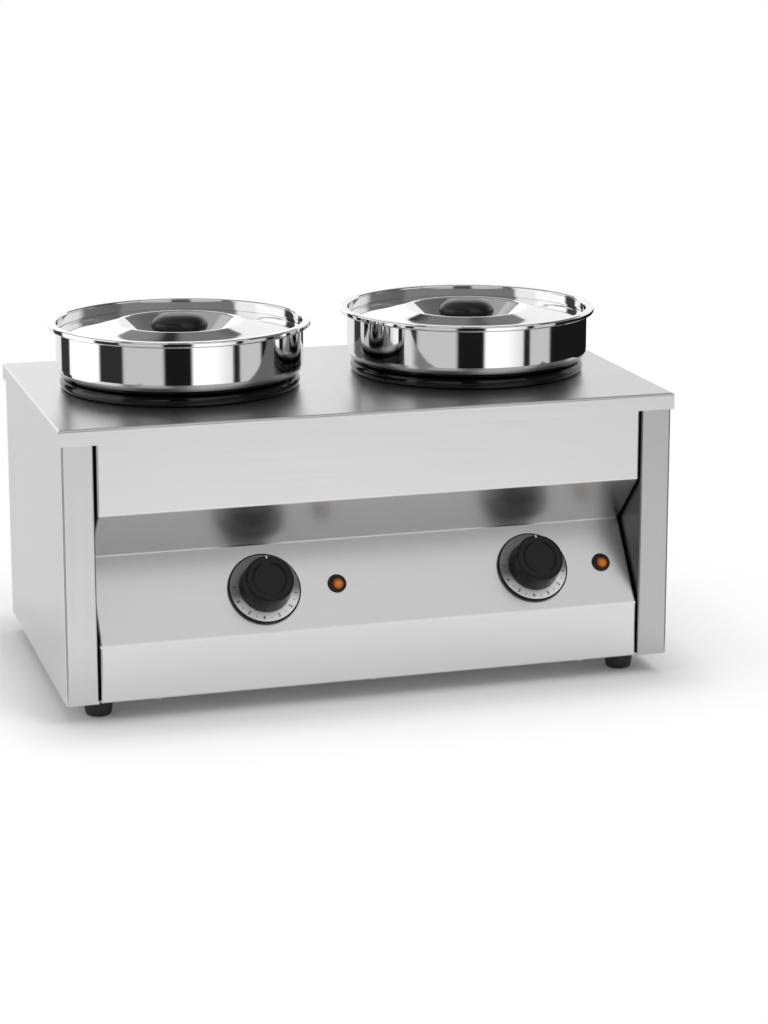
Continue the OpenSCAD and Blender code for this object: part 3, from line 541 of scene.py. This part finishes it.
def softbox(name, at, towards, size, watts):
    """A soft light that mirror reflections don't see."""
    light = bpy.data.lights.new(name, "AREA")
    light.shape, light.size, light.size_y, light.energy = "RECTANGLE", size[0], size[1], watts
    lamp = bpy.data.objects.new(name, light)
    lamp.location = at
    lamp.rotation_euler = (Vector(towards) - Vector(at)).to_track_quat("-Z", "Y").to_euler()
    lamp.visible_glossy = False
    bpy.context.scene.collection.objects.link(lamp)


softbox("key_light", at=(1.1, -1.9, 2.6), towards=(0, 0, 0.15), size=(1.4, 1.4), watts=24)
softbox("top_light", at=(0.0, 0.2, 2.6), towards=(0, 0, 0.2), size=(2.2, 1.6), watts=16)
softbox("fill_light", at=(-2.4, 0.2, 1.6), towards=(0, 0, 0.15), size=(1.4, 1.4), watts=13)

# What polished metal sees round the studio. Bearings are in degrees from the camera's side
# towards its right, and each band runs from one light level to the next.
LOW_PANELS = [
    (-180, 0.9), (-141, 0.9), (-138, 0.04), (-121, 0.04), (-118, 1.3), (-78, 1.3), (-75, 0.03),
    (-52, 0.03), (-49, 0.62), (-13, 0.62), (-10, 0.01), (13, 0.01), (16, 1.3), (34, 1.24),
    (52, 0.85), (54, 0.02), (59, 0.02), (61, 0.62), (82, 0.62), (85, 0.01), (172, 0.01),
    (176, 0.95), (180, 0.95),
]
LEVEL_PANELS = [
    (-180, 1.15), (-142, 1.3), (-138, 0.05), (-122, 0.05), (-118, 1.3), (-80, 1.3), (-76, 1.1),
    (-56, 1.1), (-52, 0.22), (60, 0.26), (66, 0.15), (108, 0.2), (118, 0.9), (140, 1),
    (180, 1),
]
HIGH_PANELS = [
    (-180, 0.2), (-176.5, 0.2), (-175.8, 0.03), (-173.5, 0.03), (-172.8, 0.25), (-160, 0.3),
    (-140, 0.6), (-100, 0.5), (-88, 1), (-55, 1), (-52, 0.03), (-44, 0.03), (-41, 0.85),
    (-10, 0.85), (-7, 0.02), (10, 0.02), (13, 0.8), (44, 0.9), (47, 0.5), (49, 0.9), (68, 0.9),
    (73, 0.05), (110, 0.08), (150, 0.2), (174, 0.2), (174.6, 0.05), (175.6, 0.05), (176, 0.2),
    (180, 0.2),
]
STEEP_PANELS = [
    (-180, 0.2), (-150, 0.4), (-60, 0.35), (-50, 0.03), (8, 0.03), (20, 0.95), (42, 0.9),
    (75, 0.5), (90, 0.1), (180, 0.2),
]
# The rings of panels, each with the heights in degrees between which it takes over from
# what lies below it
RINGS = [
    (LOW_PANELS, -42, -18), (LEVEL_PANELS, -9, -5), (HIGH_PANELS, 25, 26),
    (STEEP_PANELS, 42, 47),
]
FLOOR_BAND, OVERHEAD = 0.95, 0.45
OVERHEAD_FROM, OVERHEAD_BY = 66, 76
# What a dull surface sees all round
PLAIN_AIR = 0.5


class Air(Finish):
    """The world's own nodes, with the same sums as a finish."""

    def __init__(self, name):
        self.world = bpy.data.worlds.new(name)
        self.world.use_nodes = True
        self.tree = self.world.node_tree
        self.tree.nodes.clear()
        self.output = self.tree.nodes.new("ShaderNodeOutputWorld")


def panel_ring(air, bearing, panels):
    """The light level of one ring of panels at a bearing, which is given from 0 to 1."""
    stops = [((b + 180) / 360, (v, v, v, 1)) for b, v in panels]
    return air.add("ShaderNodeValToRGB", {"stops": stops}, {"Fac": bearing}, "Color")


def studio_air():
    """White to the camera, plain to dull surfaces and rings of panels to mirror surfaces."""
    air = Air("studio")
    x, y, z = air.parts(air.add("ShaderNodeTexCoord", output="Generated"))
    along, beside = Vector(CAMERA_AT.xy).normalized()
    near = x * along + y * beside
    right = y * along - x * beside
    bearing = air.add("ShaderNodeMath", {"operation": "ARCTAN2"}, {0: right, 1: near})
    bearing = bearing / (2 * math.pi) + 0.5
    rise = air.add("ShaderNodeMath", {"operation": "ARCSINE"}, {0: z}) * (180 / math.pi)
    shown = grey(FLOOR_BAND)
    for panels, low, high in RINGS:
        shown = air.blend(rise.ramp(low, high), shown, panel_ring(air, bearing, panels))
    shown = air.blend(rise.ramp(OVERHEAD_FROM, OVERHEAD_BY), shown, grey(OVERHEAD))
    mirrored = air.add("ShaderNodeLightPath", output="Is Glossy Ray")
    seen = Value(air, mirrored.socket.node.outputs["Is Camera Ray"])
    plain, white, panels = [
        air.add("ShaderNodeBackground", sockets={"Color": colour, "Strength": strength})
        for colour, strength in ((WHITE, PLAIN_AIR), (WHITE, 1.0), (shown, 1.0))]
    mix = air.add("ShaderNodeMixShader", sockets={0: mirrored, 1: plain, 2: panels})
    mix = air.add("ShaderNodeMixShader", sockets={0: seen, 1: mix, 2: white})
    air.tree.links.new(mix.socket, air.output.inputs["Surface"])
    return air.world


bpy.context.scene.world = studio_air()
bpy.context.scene.view_settings.view_transform = "Standard"
